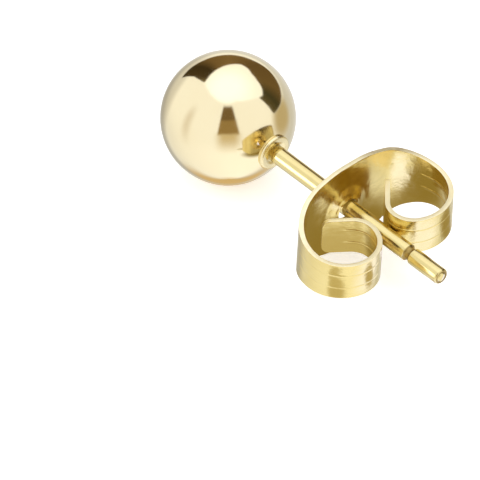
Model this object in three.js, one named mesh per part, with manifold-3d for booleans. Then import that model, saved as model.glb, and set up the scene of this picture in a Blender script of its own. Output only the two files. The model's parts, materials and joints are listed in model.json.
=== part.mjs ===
// Ball stud earring with its butterfly back pushed onto the post, lying as it rests on a table.
// Millimetres, +Z up. +Y runs along the post from the ball to the tip, +X across the curled arms.
// The origin is at the middle of the bounding box's bottom face.
//
// Both pieces are drawn upright in the stud's own frame, whose origin is the ball's centre and whose
// +Y is the post's axis. The whole stud is then tipped onto its ball and the back's lower edge.

import * as THREE from 'three';
import { mergeVertices } from 'three/addons/utils/BufferGeometryUtils.js';
import Module from 'manifold-3d';

const wasm = await Module();
wasm.setup();

// ---- Ball, cup and post ----
const BALL_RADIUS = 3;
const CUP_RADIUS = 0.82;
const CUP_HEIGHT = 0.2;         // from the ball's surface at the cup's edge to its top
const CUP_ROUNDING = 0.1;       // radius of the rounding around the cup's rim
const CUP_DISH = 0.06;          // depth of the dish between the rim and the post
const POST_RADIUS = 0.4;
const POST_END = 13.82;         // from the ball's centre to the end face
const NOTCH_AT = 11.8;          // from the ball's centre to the middle of the notch
const NOTCH_WIDTH = 0.34;
const NOTCH_DEPTH = 0.07;
const TIP_RADIUS = 0.385;       // radius of the post past the notch
const TIP_ROUNDING = 0.16;      // radius of the rounding around the end face

// ---- Butterfly back ----
const SHEET = 0.22;             // thickness of the metal
const PLATE_AT = 7.52;          // from the ball's centre to the middle of the plate
const PLATE_HALF_WIDTH = 2.31;  // half the strip's width at its widest
const ARM_HALF_WIDTH = 0.91;    // half the strip's width in the curls
const WAIST_LENGTH = 3.1;       // how far along the strip the width falls away
const WIDEST_AT = -0.2;         // the strip's widest place, along X
const WIDEST_SPAN = 0.8;        // length of that place with an even width
const END_ROUNDING = 0.38;      // corner radius of the strip's ends
const HOLE_RADIUS = 0.54;
const DIMPLE_RADIUS = 1.25;
const DIMPLE_HEIGHT = 0.27;     // how far the dimple stands out towards the tip
const DIMPLE_WALL = 0.198;      // thickness of the dimple's stretched wall

// Each arm runs straight out from the post's axis, bends through three arcs and ends in a straight tab.
const LEFT_ARM = {
  side: 1,
  bends: [
    { straight: 1.68 },
    { radius: 2.37, turn: 90 },
    { radius: 1.65, turn: 175 },
    { radius: 1.03, turn: 58 },
    { straight: 1.27 },
  ],
};
const RIGHT_ARM = {
  side: -1,
  bends: [
    { straight: 2.38 },
    { radius: 1.38, turn: 40 },
    { radius: 1.95, turn: 165 },
    { radius: 1.12, turn: 108 },
    { straight: 1.43 },
  ],
};

// ---- Fineness of the faceted surfaces ----
const ROUND_STEPS = 40;         // facets around the ball and post
const HALF_BALL_BANDS = 12.5;   // bands from the ball's front to the middle of the band it rests on
const ARC_STEPS = 4;            // steps in a small quarter round
const STRIP_STEP = 0.3;         // length of the steps along the strip
const NARROWEST_BAND = 1 / 3;   // share of a band below which the band beside the cup is left out
const WELD_DISTANCE = 1e-5;     // points closer than this are one

// Angle by which the post tips down, with the ball and the plate's lower edge on the table.
const footDistance = Math.hypot(PLATE_AT + SHEET / 2, PLATE_HALF_WIDTH);
const footAngle = Math.atan2(PLATE_HALF_WIDTH, PLATE_AT + SHEET / 2);
const TILT = Math.asin(BALL_RADIUS / footDistance) - footAngle;

// Points of an arc in the profile plane, from angle a to angle b in radians.
function arcPoints(centreR, centreY, radius, a, b, steps) {
  const points = [];
  for (let i = 0; i <= steps; i += 1) {
    const angle = a + ((b - a) * i) / steps;
    points.push(new THREE.Vector2(centreR + radius * Math.cos(angle), centreY + radius * Math.sin(angle)));
  }
  return points;
}

// A body turned about the post's axis, with one facet looking straight down.
function turned(profile) {
  const geometry = new THREE.LatheGeometry(profile, ROUND_STEPS, Math.PI / ROUND_STEPS);
  geometry.deleteAttribute('normal');
  geometry.deleteAttribute('uv');
  return mergeVertices(geometry, WELD_DISTANCE);
}

// The ball's flats, not its corners, lie at its true radius, and one of them is parallel to the table.
function ballProfile(cupStart) {
  const band = (Math.PI / 2 + TILT) / HALF_BALL_BANDS;
  const cornerRadius = BALL_RADIUS / Math.cos(band / 2) / Math.cos(Math.PI / ROUND_STEPS);
  const points = [];
  for (let angle = -Math.PI / 2; angle < cupStart - NARROWEST_BAND * band; angle += band) {
    points.push(new THREE.Vector2(cornerRadius * Math.cos(angle), cornerRadius * Math.sin(angle)));
  }
  points[0].x = 0;
  return points;
}

// The cup's rounded rim and the shallow dish inside it.
function cupProfile(cupStart) {
  const rimY = BALL_RADIUS * Math.sin(cupStart);
  const top = rimY + CUP_HEIGHT;
  const shoulder = CUP_RADIUS - CUP_ROUNDING;
  return [
    new THREE.Vector2(CUP_RADIUS, rimY),
    ...arcPoints(shoulder, top - CUP_ROUNDING, CUP_ROUNDING, 0, Math.PI / 2, ARC_STEPS),
    new THREE.Vector2((shoulder + POST_RADIUS) / 2, top - CUP_DISH),
    new THREE.Vector2(POST_RADIUS, top - CUP_DISH / 2),
  ];
}

// The post from the cup to its end face, with the notch cut into it.
function postProfile() {
  const floor = POST_RADIUS - NOTCH_DEPTH;
  const start = NOTCH_AT - NOTCH_WIDTH / 2;
  const end = NOTCH_AT + NOTCH_WIDTH / 2;
  const inset = TIP_RADIUS - TIP_ROUNDING;
  return [
    new THREE.Vector2(POST_RADIUS, start),
    new THREE.Vector2(floor, start + NOTCH_DEPTH),
    new THREE.Vector2(floor, end - (TIP_RADIUS - floor)),
    new THREE.Vector2(TIP_RADIUS, end),
    ...arcPoints(inset, POST_END - TIP_ROUNDING, TIP_ROUNDING, 0, Math.PI / 2, ARC_STEPS),
    new THREE.Vector2(0, POST_END),
  ];
}

function studGeometry() {
  const cupStart = Math.acos(CUP_RADIUS / BALL_RADIUS);
  return turned([...ballProfile(cupStart), ...cupProfile(cupStart), ...postProfile()]);
}

// Place and heading at distance s from the post's axis along an arm that curls to the left.
function armPoint(bends, s) {
  let x = 0;
  let y = 0;
  let heading = 0;
  let left = s;
  for (const bend of bends) {
    const turn = bend.radius ? THREE.MathUtils.degToRad(bend.turn) : 0;
    const whole = bend.radius ? bend.radius * turn : bend.straight;
    const part = Math.min(left, whole);
    if (bend.radius) {
      const next = heading + part / bend.radius;
      x += bend.radius * (Math.sin(next) - Math.sin(heading));
      y += bend.radius * (Math.cos(heading) - Math.cos(next));
      heading = next;
    } else {
      x += part * Math.cos(heading);
      y += part * Math.sin(heading);
    }
    left -= part;
    if (left <= 0) {
      break;
    }
  }
  return { x, y, heading };
}

function armLength(bends) {
  return bends.reduce((sum, b) => sum + (b.straight ?? b.radius * THREE.MathUtils.degToRad(b.turn)), 0);
}

// Half the strip's width, by its distance from the widest place and from its rounded end.
function halfWidth(fromWidest, fromEnd) {
  const away = Math.max(0, Math.abs(fromWidest) - WIDEST_SPAN / 2);
  const swell = Math.exp(-((away / WAIST_LENGTH) ** 2));
  const width = ARM_HALF_WIDTH + (PLATE_HALF_WIDTH - ARM_HALF_WIDTH) * swell;
  const intoCorner = Math.max(0, END_ROUNDING - fromEnd);
  return width - END_ROUNDING + Math.sqrt(END_ROUNDING ** 2 - intoCorner ** 2);
}

// Cross sections of one arm, from the post's axis to its free end.
function armSections(arm) {
  const length = armLength(arm.bends);
  const stations = [];
  for (let s = 0; s < length - END_ROUNDING - STRIP_STEP / 2; s += STRIP_STEP) {
    stations.push(s);
  }
  for (let i = 0; i <= ARC_STEPS; i += 1) {
    stations.push(length - END_ROUNDING * (1 - Math.sin((i / ARC_STEPS) * (Math.PI / 2))));
  }
  return stations.map((s) => {
    const { x, y, heading } = armPoint(arm.bends, s);
    return {
      x: arm.side * x,
      y: PLATE_AT + y,
      outX: (arm.side * Math.sin(heading) * SHEET) / 2,
      outY: (-Math.cos(heading) * SHEET) / 2,
      half: halfWidth(arm.side * s - WIDEST_AT, length - s),
    };
  });
}

// The bent strip, from the right arm's end through the plate to the left arm's end.
function stripGeometry() {
  const sections = [...armSections(RIGHT_ARM).slice(1).reverse(), ...armSections(LEFT_ARM)];
  const positions = [];
  const index = [];
  for (const c of sections) {
    positions.push(c.x + c.outX, c.y + c.outY, -c.half, c.x - c.outX, c.y - c.outY, -c.half);
    positions.push(c.x - c.outX, c.y - c.outY, c.half, c.x + c.outX, c.y + c.outY, c.half);
  }
  for (let i = 0; i < sections.length - 1; i += 1) {
    for (let side = 0; side < 4; side += 1) {
      const a = 4 * i + side;
      const b = 4 * i + ((side + 1) % 4);
      index.push(a, b, a + 4, b, b + 4, a + 4);
    }
  }
  const last = 4 * (sections.length - 1);
  index.push(0, 2, 1, 0, 3, 2, last, last + 1, last + 2, last, last + 2, last + 3);
  const geometry = new THREE.BufferGeometry();
  geometry.setAttribute('position', new THREE.Float32BufferAttribute(positions, 3));
  geometry.setIndex(index);
  return geometry;
}

function toSolid(geometry) {
  const vertProperties = new Float32Array(geometry.attributes.position.array);
  const triVerts = new Uint32Array(geometry.index.array);
  return new wasm.Manifold(new wasm.Mesh({ numProp: 3, vertProperties, triVerts }));
}

function toGeometry(solid) {
  const mesh = solid.getMesh();
  const geometry = new THREE.BufferGeometry();
  geometry.setAttribute('position', new THREE.BufferAttribute(new Float32Array(mesh.vertProperties), 3));
  geometry.setIndex(new THREE.BufferAttribute(new Uint32Array(mesh.triVerts), 1));
  return geometry;
}

// A cone frustum about the post's axis, closed at both ends.
function frustum(radiusA, yA, radiusB, yB) {
  return toSolid(turned([
    new THREE.Vector2(0, yA),
    new THREE.Vector2(radiusA, yA),
    new THREE.Vector2(radiusB, yB),
    new THREE.Vector2(0, yB),
  ]));
}

// The strip with its dimple pushed through towards the tip, and the hole at the dimple's top.
function backGeometry() {
  const earFace = PLATE_AT - SHEET / 2;
  const tipFace = PLATE_AT + SHEET / 2;
  const top = tipFace + DIMPLE_HEIGHT;
  const bump = frustum(DIMPLE_RADIUS, tipFace - SHEET / 2, HOLE_RADIUS + DIMPLE_WALL, top);
  const hollow = frustum(DIMPLE_RADIUS - DIMPLE_WALL, earFace - SHEET, HOLE_RADIUS, top + SHEET);
  return toGeometry(toSolid(stripGeometry()).add(bump).subtract(hollow));
}

function gold(color, roughness) {
  return new THREE.MeshStandardMaterial({ color, roughness, metalness: 1 });
}

function namedMesh(name, geometry, material) {
  const mesh = new THREE.Mesh(geometry, material);
  mesh.name = name;
  return mesh;
}

const stud = new THREE.Group();
stud.add(namedMesh('ball_stud', studGeometry(), gold(0xecd29a, 0.08)));
stud.add(namedMesh('butterfly_back', backGeometry(), gold(0xe2c06a, 0.2)));
stud.rotation.x = -TILT;
stud.position.z = BALL_RADIUS;

const group = new THREE.Group();
group.add(stud);
group.updateMatrixWorld(true);
const middle = new THREE.Box3().setFromObject(group, true).getCenter(new THREE.Vector3());
stud.position.x -= middle.x;
stud.position.y -= middle.y;

export default group;
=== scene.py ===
"""Looks of a ball stud earring with its butterfly back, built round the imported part.

Shapes are drawn in the stud's own frame, in millimetres: the origin is the ball's centre, +Y runs along the
post to its tip, +X lies across the back's curls and +Z points up. They are then laid in the row's frame.
"""

import json
import math

import bmesh
import bpy
from mathutils import Matrix, Quaternion, Vector


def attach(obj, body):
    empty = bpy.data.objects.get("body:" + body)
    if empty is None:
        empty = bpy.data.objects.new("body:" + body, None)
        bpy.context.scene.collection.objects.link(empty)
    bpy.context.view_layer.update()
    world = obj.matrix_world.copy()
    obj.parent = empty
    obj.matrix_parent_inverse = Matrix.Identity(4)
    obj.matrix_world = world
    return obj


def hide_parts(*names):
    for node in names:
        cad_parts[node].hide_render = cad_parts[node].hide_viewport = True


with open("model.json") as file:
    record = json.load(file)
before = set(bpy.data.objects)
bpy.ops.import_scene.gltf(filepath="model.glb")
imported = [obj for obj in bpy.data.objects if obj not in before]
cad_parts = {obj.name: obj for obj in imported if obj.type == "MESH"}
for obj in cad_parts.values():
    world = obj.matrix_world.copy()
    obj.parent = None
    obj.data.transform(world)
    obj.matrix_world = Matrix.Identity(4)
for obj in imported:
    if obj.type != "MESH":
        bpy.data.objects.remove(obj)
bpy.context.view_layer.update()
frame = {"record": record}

MM = 0.001

# ---- Ball, cup and post, in millimetres ----
BALL_RADIUS = 3.0
CUP_RADIUS = 0.86
CUP_ROUNDING = 0.11          # of the cup's rim
CUP_TOP = 3.08               # along the post, from the ball's centre
CUP_GROOVE = 3.01            # bottom of the groove between the cup's face and the post
CUP_FACE = 0.6               # where the cup's flat face starts to dip to the groove
CUP_CROWN = 0.01             # fall from the rim's crest to the cup's face
CUP_ROOT = 2.7               # hidden in the ball
POST_RADIUS = 0.4
POST_ROOT = 2.8              # hidden in the cup
POST_END = 13.82
NOTCH_START = 11.63
NOTCH_END = 11.97
NOTCH_DEPTH = 0.1
NOTCH_LIP = 0.02             # softened corners of the notch
NOTCH_MIDDLE = (NOTCH_START + NOTCH_END) / 2
NOTCH_HALF = (NOTCH_END - NOTCH_START) / 2
TIP_RADIUS = 0.385
TIP_ROUNDING = 0.12
TIP_STUB = 0.2               # radius of the stub left standing where the wire was parted
TIP_CREASE = 0.275           # radius of the crease round that stub
CREASE_DEPTH = 0.085
STUB_ROUNDING = 0.03
NIP_TURN = math.radians(25)  # the stub has a low ridge across it
NIP_SLOPE = 0.22

# ---- Butterfly back, in millimetres ----
SHEET = 0.22
PLATE_AT = 7.52
PLATE_HALF_WIDTH = 2.31
ARM_HALF_WIDTH = 0.91
WAIST_LENGTH = 3.1
WIDEST_AT = -0.2
WIDEST_SPAN = 0.8
END_ROUNDING = {1: 0.38, -1: 0.09}    # of the left and right arm's end corners
HOLE_RADIUS = 0.54
HOLE_AT = (0.08, -0.07)       # the pierced hole sits a little off the post's axis
DIMPLE_RADIUS = 1.28
DIMPLE_HEIGHT = 0.16
LIP_HEIGHT = 0.05            # how far the hole's lip flares past the dimple
LIP_WIDTH = 0.16
PRESS_LINE_AT = 0.35         # from the strip's middle line
PRESS_LINE_WIDTH = 0.05
PRESS_LINE_DEPTH = 0.017
PRESS_LINE_START = 3.9       # from the post's axis, along the strip
PRESS_LINE_END = 11.9
PRESS_LINE_FADES = 0.6, 0.4  # lengths over which it deepens and dies away
SHEARED_EDGE = 0.05          # rounding of the sheared edges

# Each arm runs straight out, bends through three arcs and ends in a straight tab. A run is (length), and an
# arc is (radius, degrees).
LEFT_ARM = [(1.68,), (2.37, 90), (1.65, 175), (1.03, 58), (1.27,)]
RIGHT_ARM = [(2.38,), (1.38, 40), (1.95, 165), (1.12, 108), (1.55,)]


# ---- The stud's own frame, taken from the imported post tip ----
def stud_frame():
    tip = next(m for m in frame["record"]["mounts"] if m["name"] == "post_tip")
    along = Vector(tip["axis"]).normalized()
    across = Vector((1, 0, 0))
    up = across.cross(along)
    turn = Matrix((across, along, up)).transposed().to_4x4()
    ball_centre = Vector(tip["pos_m"]) - along * POST_END * MM
    return ball_centre, turn


BALL_CENTRE, STUD_TURN = stud_frame()
STUD_TO_ROW = Matrix.Translation(BALL_CENTRE) @ STUD_TURN @ Matrix.Scale(MM, 4)
POST_DIP = math.degrees(math.asin(-STUD_TURN[2][1]))


# ---- Colours, as they reflect ----
BALL_GOLD = (0.90, 0.80, 0.55, 1), (0.88, 0.765, 0.50, 1)
SOLDER_GOLD = (0.90, 0.80, 0.52, 1), (0.84, 0.71, 0.40, 1)
WIRE_GOLD = (0.78, 0.66, 0.32, 1), (0.72, 0.59, 0.26, 1)
STRIP_GOLD = (0.86, 0.72, 0.34, 1), (0.79, 0.63, 0.24, 1)
# pale tones of the strip's cut edges, a painted highlight along them
EDGE_GOLD_WITH_PAINTED_HIGHLIGHT = (0.95, 0.87, 0.60, 1), (0.92, 0.81, 0.50, 1)
# a painted shade tone, darkening the post's turned notch and tip crease
RECESS_SHADE_TONE = (0.40, 0.28, 0.09, 1)


# ---- Node trees ----
def node(tree, kind, inputs=None, **settings):
    """A new node. An input given as a socket is linked, and anything else is set on it."""
    made = tree.nodes.new(kind)
    for name, value in settings.items():
        setattr(made, name, value)
    for key, value in (inputs or {}).items():
        if isinstance(value, bpy.types.NodeSocket):
            tree.links.new(value, made.inputs[key])
        else:
            made.inputs[key].default_value = value
    return made


def calc(tree, operation, *values):
    return node(tree, "ShaderNodeMath", dict(enumerate(values)), operation=operation).outputs[0]


def product(tree, share, *others):
    for other in others:
        share = calc(tree, "MULTIPLY", share, other)
    return share


def gap(tree, a, b):
    return calc(tree, "ABSOLUTE", calc(tree, "SUBTRACT", a, b))


def distance(tree, *sides):
    return calc(tree, "SQRT", calc(tree, "ADD", *[calc(tree, "MULTIPLY", d, d) for d in sides]))


def ramp(tree, value, low, high, to_low=0.0, to_high=1.0, kind="SMOOTHSTEP"):
    inputs = {"Value": value, "From Min": low, "From Max": high, "To Min": to_low, "To Max": to_high}
    return node(tree, "ShaderNodeMapRange", inputs, interpolation_type=kind).outputs["Result"]


def mix_colour(tree, share, a, b):
    made = node(tree, "ShaderNodeMix", {0: share, 6: a, 7: b}, data_type="RGBA")
    return made.outputs[2]


def noise(tree, vector, scale, detail=3.0, roughness=0.55):
    inputs = {"Vector": vector, "Scale": scale, "Detail": detail, "Roughness": roughness}
    return node(tree, "ShaderNodeTexNoise", inputs).outputs["Fac"]


def empty_material(name):
    material = bpy.data.materials.new(name)
    material.use_nodes = True
    material.node_tree.nodes.clear()
    return material, material.node_tree


def new_material(name):
    material, tree = empty_material(name)
    shader = node(tree, "ShaderNodeBsdfPrincipled")
    node(tree, "ShaderNodeOutputMaterial", {"Surface": shader.outputs["BSDF"]})
    return material, tree, shader


def stud_coordinates(tree, stretch=(1, 1, 1)):
    """Object coordinates turned into the stud's own frame, in millimetres times stretch."""
    place = node(tree, "ShaderNodeTexCoord").outputs["Object"]
    centred = node(tree, "ShaderNodeMapping", {"Vector": place, "Location": -BALL_CENTRE}).outputs[0]
    inputs = {"Vector": centred, "Rotation": (math.radians(POST_DIP), 0, 0)}
    turned = node(tree, "ShaderNodeMapping", inputs).outputs[0]
    inputs = {"Vector": turned, "Scale": tuple(s / MM for s in stretch)}
    return node(tree, "ShaderNodeMapping", inputs).outputs[0]


def finish_gold(tree, shader, tones, tint, gloss, height, bump):
    """Sets a gold's colour between two tones, its gloss and its fine relief, in millimetres."""
    shader.inputs["Metallic"].default_value = 1.0
    tree.links.new(mix_colour(tree, tint, *tones), shader.inputs["Base Color"])
    tree.links.new(gloss, shader.inputs["Roughness"])
    relief = node(tree, "ShaderNodeBump", {"Strength": 1.0, "Distance": bump * MM, "Height": height})
    tree.links.new(relief.outputs["Normal"], shader.inputs["Normal"])


def mirror_polish():
    """The ball: mirror-polished pale gold with polishing haze and hairline scratches."""
    material, tree, shader = new_material("mirror_polished_gold")
    place = stud_coordinates(tree)
    haze = noise(tree, place, 0.6)
    hairlines = noise(tree, stud_coordinates(tree, (2.0, 30.0, 6.0)), 1.0, 2.0)
    scratches = ramp(tree, hairlines, 0.62, 0.75)
    gloss = calc(tree, "MULTIPLY_ADD", scratches, 0.05, ramp(tree, haze, 0.3, 0.7, 0.07, 0.11))
    height = calc(tree, "MULTIPLY_ADD", scratches, -0.25, noise(tree, place, 5.0))
    finish_gold(tree, shader, BALL_GOLD, haze, gloss, height, 0.0006)
    return material


def satin_solder():
    """The cup: the ball's pale gold left satin, with the faint ripples of run solder."""
    material, tree, shader = new_material("satin_solder_gold")
    ripples = noise(tree, stud_coordinates(tree, (1.0, 3.0, 1.0)), 2.2, 4.0)
    patches = noise(tree, stud_coordinates(tree), 1.4)
    gloss = ramp(tree, ripples, 0.3, 0.7, 0.17, 0.3)
    finish_gold(tree, shader, SOLDER_GOLD, patches, gloss, ripples, 0.008)
    return material


def drawn_wire():
    """The post: bright gold wire with draw lines along it, with painted shade darkening its turned notch and
    tip crease.
    """
    material, tree, shader = new_material("drawn_gold_wire")
    lines = noise(tree, stud_coordinates(tree, (9.0, 0.35, 9.0)), 1.0, 4.0)
    patches = noise(tree, stud_coordinates(tree), 1.1)
    x, along, z = node(tree, "ShaderNodeSeparateXYZ", {0: stud_coordinates(tree)}).outputs
    out = distance(tree, x, z)
    # painted shade: the turned notch and the tip's crease are mixed towards a dark tone, and made duller
    notch = product(tree, ramp(tree, gap(tree, along, NOTCH_MIDDLE), NOTCH_HALF + 0.015, NOTCH_HALF - 0.005),
                    ramp(tree, out, POST_RADIUS - 0.005, POST_RADIUS - 0.04))
    crease = product(tree, ramp(tree, along, POST_END - 0.13, POST_END - 0.08),
                     ramp(tree, gap(tree, out, TIP_CREASE), 0.07, 0.03))
    dark = calc(tree, "MAXIMUM", notch, crease)
    gloss = calc(tree, "MULTIPLY_ADD", dark, 0.2, ramp(tree, lines, 0.3, 0.75, 0.12, 0.22))
    tones = [mix_colour(tree, dark, tone, RECESS_SHADE_TONE) for tone in WIRE_GOLD]
    finish_gold(tree, shader, tones, patches, gloss, lines, 0.0022)
    return material


def sheared_metal():
    """The strip's cut edges: duller than its faces and painted paler, a painted highlight along them, with the
    shear's fine tearing.
    """
    material, tree, shader = new_material("sheared_gold_edge")
    tearing = noise(tree, stud_coordinates(tree, (5.0, 5.0, 2.0)), 1.0, 5.0)
    patches = noise(tree, stud_coordinates(tree), 0.9)
    gloss = ramp(tree, tearing, 0.3, 0.7, 0.4, 0.55)
    finish_gold(tree, shader, EDGE_GOLD_WITH_PAINTED_HIGHLIGHT, patches, gloss, tearing, 0.004)
    return material


def rolled_strip():
    """The back: rolled strip with grain along its length and the uneven gloss of bent metal."""
    material, tree, shader = new_material("rolled_gold_strip")
    flat = node(tree, "ShaderNodeUVMap", uv_map="blank").outputs["UV"]
    along = node(tree, "ShaderNodeMapping", {"Vector": flat, "Scale": (14.0, 420.0, 1.0)}).outputs[0]
    grain = noise(tree, along, 1.0, 5.0)
    dents = noise(tree, stud_coordinates(tree), 1.1, 3.0)
    gloss = calc(tree, "MULTIPLY_ADD", grain, 0.1, ramp(tree, dents, 0.3, 0.7, 0.1, 0.2))
    height = calc(tree, "MULTIPLY_ADD", dents, 26.0, grain)
    finish_gold(tree, shader, STRIP_GOLD, dents, gloss, height, 0.0014)
    return material


# ---- Meshes ----
def arc(centre, radius, start, end, steps):
    """Points of an arc in the profile plane, with angles in degrees."""
    angles = [math.radians(start + (end - start) * i / steps) for i in range(steps + 1)]
    return [(centre[0] + radius * math.cos(a), centre[1] + radius * math.sin(a)) for a in angles]


def turned_mesh(name, profile, around, material):
    """A body turned about the post's axis, from a profile of (radius, place along the post)."""
    mesh = bpy.data.meshes.new(name)
    build = bmesh.new()
    rings = []
    for radius, along in profile:
        if radius == 0:
            rings.append([build.verts.new((0, along, 0))] * around)
            continue
        angles = [2 * math.pi * i / around for i in range(around)]
        rings.append([build.verts.new((radius * math.cos(a), along, radius * math.sin(a))) for a in angles])
    for low, high in zip(rings, rings[1:]):
        for i in range(around):
            j = (i + 1) % around
            corners = dict.fromkeys((low[i], high[i], high[j], low[j]))
            build.faces.new(list(corners))
    bmesh.ops.recalc_face_normals(build, faces=build.faces)
    build.to_mesh(mesh)
    build.free()
    mesh.materials.append(material)
    return mesh


def finish_piece(mesh, name, body, cad_node):
    """Lays a finished mesh in the row's frame and hands it over to its CAD body."""
    mesh.transform(STUD_TO_ROW)
    mesh.shade_smooth()
    mesh.name = name
    piece = bpy.data.objects.new(name, mesh)
    bpy.context.scene.collection.objects.link(piece)
    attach(piece, body)
    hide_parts(cad_node)
    return piece


def make_ball():
    profile = arc((0, 0), BALL_RADIUS, -90, 90, 96)
    profile[0] = (0, -BALL_RADIUS)
    profile[-1] = (0, BALL_RADIUS)
    mesh = turned_mesh("ball", profile, 192, mirror_polish())
    return finish_piece(mesh, "ball", "stud", "ball_stud")


def make_cup():
    """A rounded solder bead round the post's foot, dished down to a groove beside the post."""
    crest = CUP_RADIUS - CUP_ROUNDING
    groove_edge = POST_RADIUS + 0.01
    face = CUP_TOP - CUP_CROWN
    profile = [(0, CUP_ROOT), (crest - 0.06, CUP_ROOT)]
    profile += arc((crest, CUP_TOP - CUP_ROUNDING), CUP_ROUNDING, -35, 90, 14)
    profile.append(((crest + CUP_FACE) / 2, CUP_TOP - 0.4 * CUP_CROWN))
    for i in range(11):
        share = i / 10
        dip = (face - CUP_GROOVE) * (1 - math.cos(math.pi * share)) / 2
        profile.append((CUP_FACE + (groove_edge - CUP_FACE) * share, face - dip))
    profile += [(POST_RADIUS - 0.05, CUP_GROOVE), (0, CUP_GROOVE)]
    mesh = turned_mesh("solder_cup", profile, 96, satin_solder())
    return finish_piece(mesh, "solder_cup", "stud", "ball_stud")


def notch_radius(share):
    """The post's radius in its notch, where share runs from -1 to 1 across it.

    The groove is a rounded one with a slightly flattened floor, and its sides stop short of upright.
    """
    rise = 1 - math.sqrt(1 - (0.97 * share) ** 2)
    return POST_RADIUS - NOTCH_DEPTH * (1 - rise ** 1.2)


def make_post():
    """The wire with its turned notch, and a tip with a crease round the stub where it was parted."""
    profile = [(0, POST_ROOT), (POST_RADIUS, POST_ROOT)]
    run = NOTCH_START - NOTCH_LIP - POST_ROOT
    profile += [(POST_RADIUS, POST_ROOT + run * i / 14) for i in range(1, 15)]
    profile += arc((POST_RADIUS - NOTCH_LIP, NOTCH_START - NOTCH_LIP), NOTCH_LIP, 0, 45, 3)[1:]
    shares = [i / 7 - 1 for i in range(1, 14)]
    profile += [(notch_radius(share), NOTCH_MIDDLE + (NOTCH_HALF - 0.01) * share) for share in shares]
    profile += arc((TIP_RADIUS - NOTCH_LIP, NOTCH_END + NOTCH_LIP), NOTCH_LIP, -45, 0, 3)
    profile += [(TIP_RADIUS, NOTCH_END + (POST_END - TIP_ROUNDING - NOTCH_END) * i / 4) for i in range(1, 4)]
    shoulder = POST_END - CREASE_DEPTH / 2
    profile += arc((TIP_RADIUS - TIP_ROUNDING, shoulder - TIP_ROUNDING), TIP_ROUNDING, 0, 62, 8)
    profile += [(TIP_CREASE, POST_END - CREASE_DEPTH), (TIP_CREASE - 0.02, POST_END - CREASE_DEPTH * 0.9)]
    profile += arc((TIP_STUB - STUB_ROUNDING, POST_END - STUB_ROUNDING), STUB_ROUNDING, 0, 90, 4)
    profile += [(TIP_STUB * share, POST_END) for share in (0.6, 0.4, 0.2, 0)]
    mesh = turned_mesh("post", profile, 96, drawn_wire())
    for corner in mesh.vertices:
        x, along, z = corner.co
        if along > shoulder and math.hypot(x, z) < TIP_STUB + 0.01:
            corner.co.y -= NIP_SLOPE * abs(x * math.cos(NIP_TURN) + z * math.sin(NIP_TURN))
    return finish_piece(mesh, "post", "stud", "ball_stud")


# ---- The butterfly back: a flat blank, pressed and bent along its centre line ----
def arm_length(bends):
    return sum(b[0] if len(b) == 1 else b[0] * math.radians(b[1]) for b in bends)


def arm_points(bends, side, step=0.01):
    """Places along an arm's middle line, from the post's axis to the free end."""
    points = [(0.0, 0.0)]
    heading = 0.0
    for bend in bends:
        x, y = points[-1]
        if len(bend) == 1:
            count = math.ceil(bend[0] / step)
            way = [bend[0] * i / count for i in range(1, count + 1)]
            points += [(x + d * math.cos(heading), y + d * math.sin(heading)) for d in way]
            continue
        radius, turn = bend[0], math.radians(bend[1])
        count = math.ceil(radius * turn / step)
        for i in range(1, count + 1):
            angle = heading + turn * i / count
            points.append((x + radius * (math.sin(angle) - math.sin(heading)),
                           y + radius * (math.cos(heading) - math.cos(angle))))
        heading += turn
    return [(side * x, PLATE_AT + y) for x, y in points]


def centre_line():
    """The bent strip's middle line as a curve, from the right arm's free end to the left arm's."""
    points = arm_points(RIGHT_ARM, -1)[:0:-1] + arm_points(LEFT_ARM, 1)
    curve = bpy.data.curves.new("strip_centre_line", "CURVE")
    curve.dimensions = "3D"
    spline = curve.splines.new("POLY")
    spline.points.add(len(points) - 1)
    for place, (x, y) in zip(spline.points, points):
        place.co = (x, y, 0, 1)
    line = bpy.data.objects.new("strip_centre_line", curve)
    bpy.context.scene.collection.objects.link(line)
    return line


LENGTHS = {1: arm_length(LEFT_ARM), -1: arm_length(RIGHT_ARM)}
PATCH = 1.7                  # half the length of the patch of rings round the hole
STATION_STEP = 0.09
EDGE_ROW = 0.065             # the row beside the sheared edge
PLAIN_ROWS = 8               # from beside the pressed line to beside the edge
PATCH_COLUMNS = 36           # along each side of the patch
CIRCLES = 16                 # from the hole's edge to past the dimple


def half_width(s):
    """Half the blank's width at distance s from the hole, with rounded corners at its ends."""
    away = max(0.0, abs(s - WIDEST_AT) - WIDEST_SPAN / 2)
    width = ARM_HALF_WIDTH + (PLATE_HALF_WIDTH - ARM_HALF_WIDTH) * math.exp(-((away / WAIST_LENGTH) ** 2))
    side = 1 if s > 0 else -1
    rounding = END_ROUNDING[side]
    corner = max(0.0, rounding - (LENGTHS[side] - abs(s)))
    return width - rounding + math.sqrt(max(0.0, rounding ** 2 - corner ** 2))


def rows_across(s):
    """The blank's rows at distance s, close together beside the pressed lines and the edges."""
    half = half_width(s)
    spread = (-0.07, -0.045, -0.03, -0.015, 0, 0.015, 0.03, 0.045, 0.07)
    rows = [0, 0.1, 0.2] + [PRESS_LINE_AT + d for d in spread]
    start, end = rows[-1], half - EDGE_ROW
    rows += [start + (end - start) * i / PLAIN_ROWS for i in range(1, PLAIN_ROWS + 1)] + [half]
    return [-w for w in rows[:0:-1]] + rows


def arm_stations(side):
    """Distances of the blank's columns from the hole, closer together round the end's corners."""
    end, rounding = LENGTHS[side], END_ROUNDING[side]
    count = round((end - rounding - PATCH) / STATION_STEP)
    places = [PATCH + (end - rounding - PATCH) * i / count for i in range(count)]
    steps = 12 if rounding > STATION_STEP * 2 else 5
    places += [end - rounding * (1 - math.sin(math.pi / 2 * i / steps)) for i in range(steps + 1)]
    return [side * s for s in places]


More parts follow.
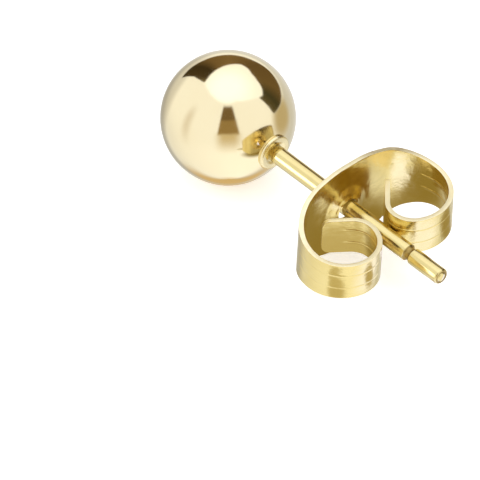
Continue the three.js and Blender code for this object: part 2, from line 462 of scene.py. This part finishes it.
def ring_patch():
    """Rings from the hole's edge out to the patch's square border, as lists of points."""
    columns = [PATCH * (2 * i / PATCH_COLUMNS - 1) for i in range(PATCH_COLUMNS + 1)]
    right = [(PATCH, w) for w in rows_across(PATCH)]
    top = [(s, half_width(s)) for s in reversed(columns)]
    left = [(-PATCH, w) for w in reversed(rows_across(-PATCH))]
    bottom = [(s, -half_width(s)) for s in columns]
    border = right[:-1] + top[:-1] + left[:-1] + bottom[:-1]
    centre = Vector(HOLE_AT)
    around = [(Vector(p) - centre).normalized() for p in border]
    last_circle = DIMPLE_RADIUS + 0.05
    radii = [HOLE_RADIUS + (last_circle - HOLE_RADIUS) * i / CIRCLES for i in range(CIRCLES + 1)]
    rings = [[tuple(centre + a * radius) for a in around] for radius in radii]
    for share in (0.16, 0.34, 0.52, 0.7, 0.84, 0.935, 1.0):
        rings.append([tuple(Vector(p) * share + (centre + a * last_circle) * (1 - share))
                      for a, p in zip(around, border)])
    return rings


def blank_mesh():
    """The flat blank, with a map of its own face: s along it and w across it."""
    build = bmesh.new()

    def skin(lines, closed):
        made = [[build.verts.new((s, w, 0)) for s, w in line] for line in lines]
        count = len(made[0])
        for a, b in zip(made, made[1:]):
            for i in range(count if closed else count - 1):
                j = (i + 1) % count
                build.faces.new((a[i], b[i], b[j], a[j]))

    skin(ring_patch(), True)
    for side in (1, -1):
        columns = arm_stations(side)
        skin([[(s, w) for w in rows_across(s)] for s in columns], False)
    bmesh.ops.remove_doubles(build, verts=build.verts, dist=1e-5)
    for face in build.faces:
        face.normal_update()
        if face.normal.z < 0:
            face.normal_flip()
    flat_map = build.loops.layers.uv.new("blank")
    whole = LENGTHS[1] + LENGTHS[-1]
    for face in build.faces:
        for loop in face.loops:
            s, w, _ = loop.vert.co
            loop[flat_map].uv = ((s + LENGTHS[-1]) / whole, 0.5 + w / whole)
    mesh = bpy.data.meshes.new("flat_blank")
    build.to_mesh(mesh)
    build.free()
    return mesh


def bending_tree():
    """Presses the dimple and the two lines into a flat blank, then bends it along its centre line."""
    tree = bpy.data.node_groups.new("press_and_bend_strip", "GeometryNodeTree")
    sockets = {}

    def declare(name, kind, value=None, way="INPUT"):
        made = tree.interface.new_socket(name=name, in_out=way, socket_type=kind)
        if value is not None:
            made.default_value = value
        if way == "INPUT":
            sockets[name] = made.identifier

    declare("Blank", "NodeSocketGeometry")
    declare("Centre line", "NodeSocketObject")
    sizes = {"Right end to hole": LENGTHS[-1], "Hole along": HOLE_AT[0], "Hole across": HOLE_AT[1],
             "Dimple radius": DIMPLE_RADIUS, "Dimple height": DIMPLE_HEIGHT, "Hole radius": HOLE_RADIUS,
             "Lip height": LIP_HEIGHT, "Lip width": LIP_WIDTH, "Line from middle": PRESS_LINE_AT,
             "Line width": PRESS_LINE_WIDTH, "Line depth": PRESS_LINE_DEPTH, "Line start": PRESS_LINE_START,
             "Line end": PRESS_LINE_END}
    for name, value in sizes.items():
        declare(name, "NodeSocketFloat", value)
    declare("Finish", "NodeSocketMaterial")
    declare("Strip", "NodeSocketGeometry", way="OUTPUT")

    given = node(tree, "NodeGroupInput").outputs
    place = node(tree, "ShaderNodeSeparateXYZ", {0: node(tree, "GeometryNodeInputPosition").outputs[0]})
    s, w = place.outputs[0], place.outputs[1]
    from_hole = distance(tree, calc(tree, "SUBTRACT", s, given["Hole along"]),
                         calc(tree, "SUBTRACT", w, given["Hole across"]))
    dimple = ramp(tree, from_hole, given["Dimple radius"], given["Hole radius"], 0.0, given["Dimple height"])
    lip_edge = calc(tree, "ADD", given["Hole radius"], given["Lip width"])
    lip = ramp(tree, from_hole, lip_edge, given["Hole radius"], 0.0, given["Lip height"], "LINEAR")
    away = calc(tree, "ABSOLUTE", s)
    from_line = gap(tree, calc(tree, "ABSOLUTE", w), given["Line from middle"])
    full_from = calc(tree, "ADD", given["Line start"], PRESS_LINE_FADES[0])
    full_to = calc(tree, "SUBTRACT", given["Line end"], PRESS_LINE_FADES[1])
    line = product(tree, ramp(tree, from_line, given["Line width"], 0.0, 0.0, given["Line depth"]),
                   ramp(tree, away, given["Line start"], full_from),
                   ramp(tree, away, given["Line end"], full_to))
    pressed = calc(tree, "ADD", calc(tree, "ADD", dimple, lip), line)

    path = node(tree, "GeometryNodeObjectInfo", {"Object": given["Centre line"]}).outputs["Geometry"]
    reach = calc(tree, "ADD", s, given["Right end to hole"])
    sample = node(tree, "GeometryNodeSampleCurve", {"Curves": path, "Length": reach}, mode="LENGTH")
    inward = node(tree, "ShaderNodeVectorMath", {0: (0, 0, 1), 1: sample.outputs["Tangent"]},
                  operation="CROSS_PRODUCT").outputs[0]
    push = node(tree, "ShaderNodeVectorMath", {0: inward, "Scale": pressed}, operation="SCALE").outputs[0]
    rise = node(tree, "ShaderNodeCombineXYZ", {2: w}).outputs[0]
    bent = node(tree, "ShaderNodeVectorMath", {0: sample.outputs["Position"], 1: push}).outputs[0]
    bent = node(tree, "ShaderNodeVectorMath", {0: bent, 1: rise}).outputs[0]
    strip = node(tree, "GeometryNodeSetPosition", {"Geometry": given["Blank"], "Position": bent}).outputs[0]
    strip = node(tree, "GeometryNodeSetShadeSmooth", {"Geometry": strip}).outputs[0]
    strip = node(tree, "GeometryNodeRealizeInstances", {"Geometry": strip}).outputs[0]
    strip = node(tree, "GeometryNodeSetMaterial", {"Geometry": strip, "Material": given["Finish"]}).outputs[0]
    node(tree, "NodeGroupOutput", {"Strip": strip})
    return tree, sockets


def make_back():
    blank = bpy.data.objects.new("flat_blank", blank_mesh())
    bpy.context.scene.collection.objects.link(blank)
    line = centre_line()
    tree, sockets = bending_tree()
    finish = rolled_strip()
    blank.data.materials.append(finish)
    blank.data.materials.append(sheared_metal())
    bend = blank.modifiers.new("press_and_bend", "NODES")
    bend.node_group = tree
    bend[sockets["Centre line"]] = line
    bend[sockets["Finish"]] = finish
    wall = blank.modifiers.new("sheet_thickness", "SOLIDIFY")
    wall.thickness = SHEET
    wall.offset = 0.0
    wall.use_even_offset = True
    wall.use_quality_normals = True
    wall.material_offset_rim = 1
    edge = blank.modifiers.new("sheared_edge", "BEVEL")
    edge.width = SHEARED_EDGE
    edge.segments = 4
    edge.limit_method = "ANGLE"
    edge.angle_limit = math.radians(50)
    depsgraph = bpy.context.evaluated_depsgraph_get()
    mesh = bpy.data.meshes.new_from_object(blank.evaluated_get(depsgraph))
    bpy.data.objects.remove(blank)
    bpy.data.objects.remove(line)
    return finish_piece(mesh, "butterfly_strip", "back", "butterfly_back")


# ---- The table, the light tent and the camera ----
FLOOR_HALF = 1.2
TABLE_GLOW = 0.5
LAMP_DISTANCE = 0.3
CAMERA_AZIMUTH = 137.63
CAMERA_ELEVATION = 38.12
CAMERA_ROLL = -1.31
VIEW_WIDTH = 0.021145        # metres
AIM_RIGHT = 0.524            # millimetres from the ball's centre, as the camera sees them
AIM_DOWN = 5.392
CAMERA_DISTANCE = 0.3

# Cards just above the table with painted shadows and painted pools of light, seen only in the metal: name,
# centre and half sizes in millimetres, tone, and height above the table.
TABLE_PATCHES = [
    ("shade_under_back", (-0.2, 2.7), (4.6, 2.4), (0.33, 0.25, 0.08), 0.02),
    ("shade_under_ball", (-0.04, -5.4), (2.2, 2.2), (0.62, 0.44, 0.2), 0.03),
    ("glow_before_back", (-0.2, 7.8), (4.4, 1.6), (1.3, 1.38, 2.05), 0.04),
    ("glow_in_right_curl", (-2.5, 4.8), (1.8, 1.1), (1.3, 1.38, 2.05), 0.05),
    ("shade_in_left_curl", (2.4, 4.6), (1.9, 1.9), (0.64, 0.56, 0.36), 0.07),
    ("shade_outside_left_curl", (5.3, 6.3), (1.9, 1.3), (0.66, 0.58, 0.36), 0.08),
    ("shade_outside_right_curl", (-4.8, 6.2), (1.6, 1.4), (0.4, 0.32, 0.13), 0.09),
    ("shade_past_post", (0.9, 7.4), (1.0, 0.9), (0.55, 0.46, 0.24), 0.1),
]

# The tent, in degrees across and up. SILL and LINTEL are the opening's lower and upper edges, and
# OVERHEAD_EDGE is the lower edge of the bright panel overhead.
TENT_TURN = 132              # brings the opening's middle to +X
STAND_TURN = -47.6           # brings the camera's stand to +X
OPENING_SPAN = (-94, 59)
SILL = [(-94, 10), (-91, 5), (-70, 0), (-46, -2), (-30, 0), (-18, 6), (0, 7.4), (15, 7.3), (25, 3.5),
        (36, 2), (43, 28), (51, 42), (59, 53)]
LINTEL = [(-94, 40), (-84, 35), (-71, 36), (-56, 40), (-41, 40.6), (-28, 36), (-18, 34), (-2, 41),
          (12, 47), (29, 51), (45, 53), (59, 53)]
OVERHEAD_EDGE = [(-180, 61), (-148, 62), (-120, 53), (-96, 41), (-93, 32), (-20, 30), (40, 45), (59, 52),
                 (85, 60), (116, 63), (180, 61)]
SEAM_AT = 105                # between two side walls

# Tones of the dim room behind the opening, from one side of it to the other.
ROOM_TONES = [(0.0, (0.12, 0.09, 0.035)), (0.12, (0.06, 0.05, 0.02)), (0.25, (0.16, 0.1, 0.035)),
              (0.45, (0.14, 0.085, 0.03)), (0.6, (0.22, 0.135, 0.05)), (0.7, (0.18, 0.11, 0.04)),
              (0.78, (0.05, 0.033, 0.012)), (0.9, (0.07, 0.045, 0.016)), (1.0, (0.2, 0.15, 0.06))]

# Brightness of the table as polished metal sees it, by degrees across.
TABLE_SHEEN = [(-180, 1.2), (-150, 1.22), (-112, 1.2), (-95, 1.05), (-80, 0.85), (-66, 0.7), (-50, 0.68),
               (-33, 0.74), (-8, 0.78), (6, 0.78), (16, 0.62), (25, 0.5), (38, 0.54), (48, 0.72), (57, 0.9),
               (82, 1.0), (100, 1.07), (180, 1.2)]


def hide_from(piece, *kinds):
    for kind in kinds:
        setattr(piece, "visible_" + kind, False)


def lay_floor():
    bpy.ops.mesh.primitive_plane_add(size=2 * FLOOR_HALF, location=(0, 0, 0))
    floor = bpy.context.object
    floor.name = "pale_table"
    material, tree, shader = new_material("pale_table_top")
    grain = noise(tree, node(tree, "ShaderNodeTexCoord").outputs["Object"], 900.0)
    tree.links.new(mix_colour(tree, grain, (0.96, 0.96, 0.955, 1), (0.98, 0.98, 0.975, 1)),
                   shader.inputs["Base Color"])
    shader.inputs["Roughness"].default_value = 0.8
    shader.inputs["Specular IOR Level"].default_value = 0.2
    shader.inputs["Emission Color"].default_value = (1, 1, 1, 1)
    shader.inputs["Emission Strength"].default_value = TABLE_GLOW
    floor.data.materials.append(material)
    hide_from(floor, "glossy")


def table_patch(name, centre, half_sizes, tone, lift):
    """A soft-edged card just above the table beside a piece, painted with a pool of light or a shadow, which
    only the polished metal sees.
    """
    bpy.ops.mesh.primitive_plane_add(size=2, location=(0, 0, 0))
    card = bpy.context.object
    card.name = name
    card.data.transform(Matrix.Translation((*[c * MM for c in centre], lift * MM)) @
                        Matrix.Diagonal((*[h * MM for h in half_sizes], 1, 1)))
    material, tree = empty_material(name)
    place = node(tree, "ShaderNodeTexCoord").outputs["Object"]
    inputs = {"Vector": place, "Location": tuple(-c / h for c, h in zip(centre, half_sizes)) + (0,),
              "Scale": tuple(1 / h / MM for h in half_sizes) + (0,)}
    within = node(tree, "ShaderNodeMapping", inputs).outputs[0]
    reach = node(tree, "ShaderNodeVectorMath", {0: within}, operation="LENGTH").outputs["Value"]
    share = ramp(tree, reach, 1.0, 0.5)
    # painted light or painted shade: the card glows in its tone and clears towards its edge
    glow = node(tree, "ShaderNodeEmission", {"Color": (*tone, 1), "Strength": 1.0}).outputs[0]
    clear = node(tree, "ShaderNodeBsdfTransparent").outputs[0]
    mixed = node(tree, "ShaderNodeMixShader", {0: share, 1: clear, 2: glow}).outputs[0]
    node(tree, "ShaderNodeOutputMaterial", {"Surface": mixed})
    card.data.materials.append(material)
    hide_from(card, "camera", "diffuse", "transmission", "volume_scatter", "shadow")


def hang_lamp(name, pieces, blockers, azimuth, elevation, sizes, power):
    """A soft lamp that lights only some pieces, shaded only by some, with its azimuth turned from +X."""
    azimuth, elevation = math.radians(azimuth), math.radians(elevation)
    away = Vector((math.cos(azimuth) * math.cos(elevation), math.sin(azimuth) * math.cos(elevation),
                   math.sin(elevation)))
    data = bpy.data.lights.new(name, "AREA")
    data.shape = "RECTANGLE"
    data.size, data.size_y = sizes
    data.energy = power
    lamp = bpy.data.objects.new(name, data)
    lamp.rotation_mode = "QUATERNION"
    lamp.rotation_quaternion = away.to_track_quat("Z", "Y")
    lamp.location = away * LAMP_DISTANCE
    lamp.visible_camera = False
    bpy.context.scene.collection.objects.link(lamp)
    lit, shading = [bpy.data.collections.new(name + end) for end in ("_lit", "_shading")]
    for piece in pieces:
        lit.objects.link(piece)
    for piece in blockers:
        shading.objects.link(piece)
    lamp.light_linking.receiver_collection = lit
    lamp.light_linking.blocker_collection = shading


def hang_backdrop():
    """A plain pale shell far round the table, which only the camera sees."""
    bpy.ops.mesh.primitive_uv_sphere_add(segments=48, ring_count=24, radius=FLOOR_HALF * 1.5)
    shell = bpy.context.object
    shell.name = "pale_backdrop"
    material, tree = empty_material("pale_backdrop_paper")
    glow = node(tree, "ShaderNodeEmission", {"Color": (1, 1, 1, 1), "Strength": 1.0})
    node(tree, "ShaderNodeOutputMaterial", {"Surface": glow.outputs[0]})
    shell.data.materials.append(material)
    hide_from(shell, "diffuse", "glossy", "transmission", "volume_scatter", "shadow")


def curve_of(tree, value, points, top, lift=0):
    """A curve through (value, result) points, for results from -lift to top - lift."""
    low, high = points[0][0], points[-1][0]
    places = [((at - low) / (high - low), (result + lift) / top) for at, result in points]
    made = node(tree, "ShaderNodeFloatCurve", {"Value": ramp(tree, value, low, high, kind="LINEAR")})
    made.mapping.use_clip = False
    curve = made.mapping.curves[0]
    for place in places[1:-1]:
        curve.points.new(*place)
    for point, place in zip(sorted(curve.points, key=lambda p: p.location[0]), places):
        point.location = place
        point.handle_type = "VECTOR"
    made.mapping.update()
    return calc(tree, "MULTIPLY_ADD", made.outputs[0], top, -lift)


def bearing(tree, direction, turn):
    """Degrees that a direction lies round Z from +X, once it is turned by `turn` degrees."""
    turned = node(tree, "ShaderNodeVectorRotate", {"Vector": direction, "Angle": math.radians(turn)},
                  rotation_type="Z_AXIS").outputs[0]
    parts = node(tree, "ShaderNodeSeparateXYZ", {0: turned}).outputs
    return calc(tree, "DEGREES", calc(tree, "ARCTAN2", parts[1], parts[0]))


def tent_opening(tree, across, height):
    """Share of the tent's dark opening in a direction."""
    above_sill = calc(tree, "SUBTRACT", height, curve_of(tree, across, SILL, 90, 10))
    above_lintel = calc(tree, "SUBTRACT", height, curve_of(tree, across, LINTEL, 90))
    return product(tree, ramp(tree, above_sill, -1.5, 2.0), ramp(tree, above_lintel, 1.5, -2.5),
                   ramp(tree, across, -95.0, -92.0), ramp(tree, across, 61.0, 54.0))


def dim_room(tree, across):
    """The room seen through the opening."""
    room = node(tree, "ShaderNodeValToRGB", {"Fac": ramp(tree, across, *OPENING_SPAN, kind="LINEAR")})
    stops = room.color_ramp.elements
    for place, _ in ROOM_TONES[1:-1]:
        stops.new(place)
    for stop, (place, colour) in zip(sorted(stops, key=lambda e: e.position), ROOM_TONES):
        stop.position = place
        stop.color = (*colour, 1)
    return room.outputs["Color"]


def tent_walls(tree, across, height):
    """The side walls, a brighter panel overhead and a soft seam between two walls."""
    above = calc(tree, "SUBTRACT", height, curve_of(tree, across, OVERHEAD_EDGE, 90))
    overhead = product(tree, ramp(tree, above, -3.0, 5.0), ramp(tree, height, 40.0, 80.0, 0.35, 1.0))
    walls = mix_colour(tree, overhead, (1.09, 1.09, 1.08, 1), (1.45, 1.48, 1.6, 1))
    seam = product(tree, ramp(tree, gap(tree, across, SEAM_AT), 13.0, 0.0), ramp(tree, height, 42.0, 14.0), 0.8)
    return mix_colour(tree, seam, walls, (0.82, 0.75, 0.66, 1))


def add_camera_stand(tree, colour, beside, height):
    """The camera's stand in front of the table, narrower and darker towards its top."""
    half = ramp(tree, height, 8.0, 57.6, 18.5, 13.0, "LINEAR")
    share = product(tree, ramp(tree, calc(tree, "SUBTRACT", beside, half), 2.2, -2.2),
                    ramp(tree, height, 4.5, 9.5), ramp(tree, height, 60.5, 53.0))
    tone = mix_colour(tree, ramp(tree, height, 30.0, 36.0), (0.33, 0.22, 0.08, 1), (0.19, 0.12, 0.045, 1))
    return mix_colour(tree, share, colour, tone)


def add_table(tree, colour, across, height):
    """The table as polished metal sees it: bright on the walls' side, dim by the opening, with a painted tan
    shadow underneath.
    """
    sheen = curve_of(tree, across, TABLE_SHEEN, 2)
    table = node(tree, "ShaderNodeCombineXYZ", {0: sheen, 1: sheen, 2: sheen}).outputs[0]
    # painted shadow of the pieces on the table, tan, seen in steep downward directions
    under = product(tree, ramp(tree, calc(tree, "ABSOLUTE", across), 100.0, 40.0),
                    ramp(tree, height, -52.0, -70.0))
    under = calc(tree, "MAXIMUM", under, ramp(tree, height, -80.0, -89.0, 0.0, 0.5))
    table = mix_colour(tree, under, table, (0.72, 0.52, 0.26, 1))
    full_below = calc(tree, "MINIMUM", ramp(tree, across, 0.0, 55.0, -8.0, -34.0),
                      ramp(tree, across, -110.0, -70.0, -30.0, -8.0))
    return mix_colour(tree, ramp(tree, height, 2.0, full_below), colour, table)


def add_stand_foot(tree, colour, beside, height):
    """A tan shade on the table at the stand's foot."""
    share = product(tree, ramp(tree, height, -30.0, 6.0), ramp(tree, height, 13.0, 6.0),
                    ramp(tree, beside, 27.0, 7.0))
    return mix_colour(tree, share, colour, (0.70, 0.57, 0.34, 1))


def add_round_shade(tree, colour, direction, middle, spread, depth, outside, tone):
    """A soft round shade about a middle direction, kept out of the opening."""
    toward = node(tree, "ShaderNodeVectorMath", {0: direction, 1: middle}, operation="DOT_PRODUCT")
    share = product(tree, ramp(tree, toward.outputs["Value"], *spread, 0.0, depth), outside)
    return mix_colour(tree, share, colour, tone)


def light_tent():
    """A white tent with soft panels overhead and round the sides, and a dark opening at the far side."""
    world = bpy.data.worlds.new("light_tent")
    bpy.context.scene.world = world
    world.use_nodes = True
    tree = world.node_tree
    tree.nodes.clear()
    direction = node(tree, "ShaderNodeTexCoord").outputs["Generated"]
    up = node(tree, "ShaderNodeSeparateXYZ", {0: direction}).outputs[2]
    height = calc(tree, "DEGREES", calc(tree, "ARCSINE", up))
    across = bearing(tree, direction, TENT_TURN)
    beside = calc(tree, "ABSOLUTE", bearing(tree, direction, STAND_TURN))

    opening = tent_opening(tree, across, height)
    outside = calc(tree, "SUBTRACT", 1.0, opening)
    colour = mix_colour(tree, opening, tent_walls(tree, across, height), dim_room(tree, across))
    colour = add_camera_stand(tree, colour, beside, height)
    colour = add_table(tree, colour, across, height)
    colour = add_stand_foot(tree, colour, beside, height)
    colour = add_round_shade(tree, colour, direction, (-0.847, 0.509, -0.156), (0.88, 0.99), 1.0, outside,
                             (0.57, 0.47, 0.28, 1))
    colour = add_round_shade(tree, colour, direction, (-0.15, -0.97, -0.15), (0.84, 0.97), 0.5, outside,
                             (0.45, 0.42, 0.37, 1))
    light = node(tree, "ShaderNodeBackground", {"Color": colour, "Strength": 1.0})
    node(tree, "ShaderNodeOutputWorld", {"Surface": light.outputs[0]})


def set_camera():
    """A camera with no perspective, a little above and behind the post's tip."""
    data = bpy.data.cameras.new("camera")
    camera = bpy.data.objects.new("camera", data)
    bpy.context.scene.collection.objects.link(camera)
    azimuth, elevation = math.radians(CAMERA_AZIMUTH), math.radians(CAMERA_ELEVATION)
    back = Vector((math.sin(azimuth) * math.cos(elevation),
                   -math.cos(azimuth) * math.cos(elevation), math.sin(elevation)))
    turn = (-back).to_track_quat("-Z", "Y") @ Quaternion((0, 0, 1), math.radians(CAMERA_ROLL))
    right, up = turn @ Vector((1, 0, 0)), turn @ Vector((0, 1, 0))
    aim = BALL_CENTRE + (right * AIM_RIGHT - up * AIM_DOWN) * MM
    camera.rotation_mode = "QUATERNION"
    camera.rotation_quaternion = turn
    camera.location = aim + back * CAMERA_DISTANCE
    data.type = "ORTHO"
    data.ortho_scale = VIEW_WIDTH
    data.clip_start = CAMERA_DISTANCE / 10
    bpy.context.scene.camera = camera


set_camera()
ball = make_ball()
make_cup()
post = make_post()
make_back()
lay_floor()
for patch in TABLE_PATCHES:
    table_patch(*patch)
hang_lamp("side_lamp", [post], [ball], azimuth=-40, elevation=8, sizes=(0.15, 0.17), power=0.2)
hang_backdrop()
light_tent()
bpy.context.scene.view_settings.view_transform = "Standard"
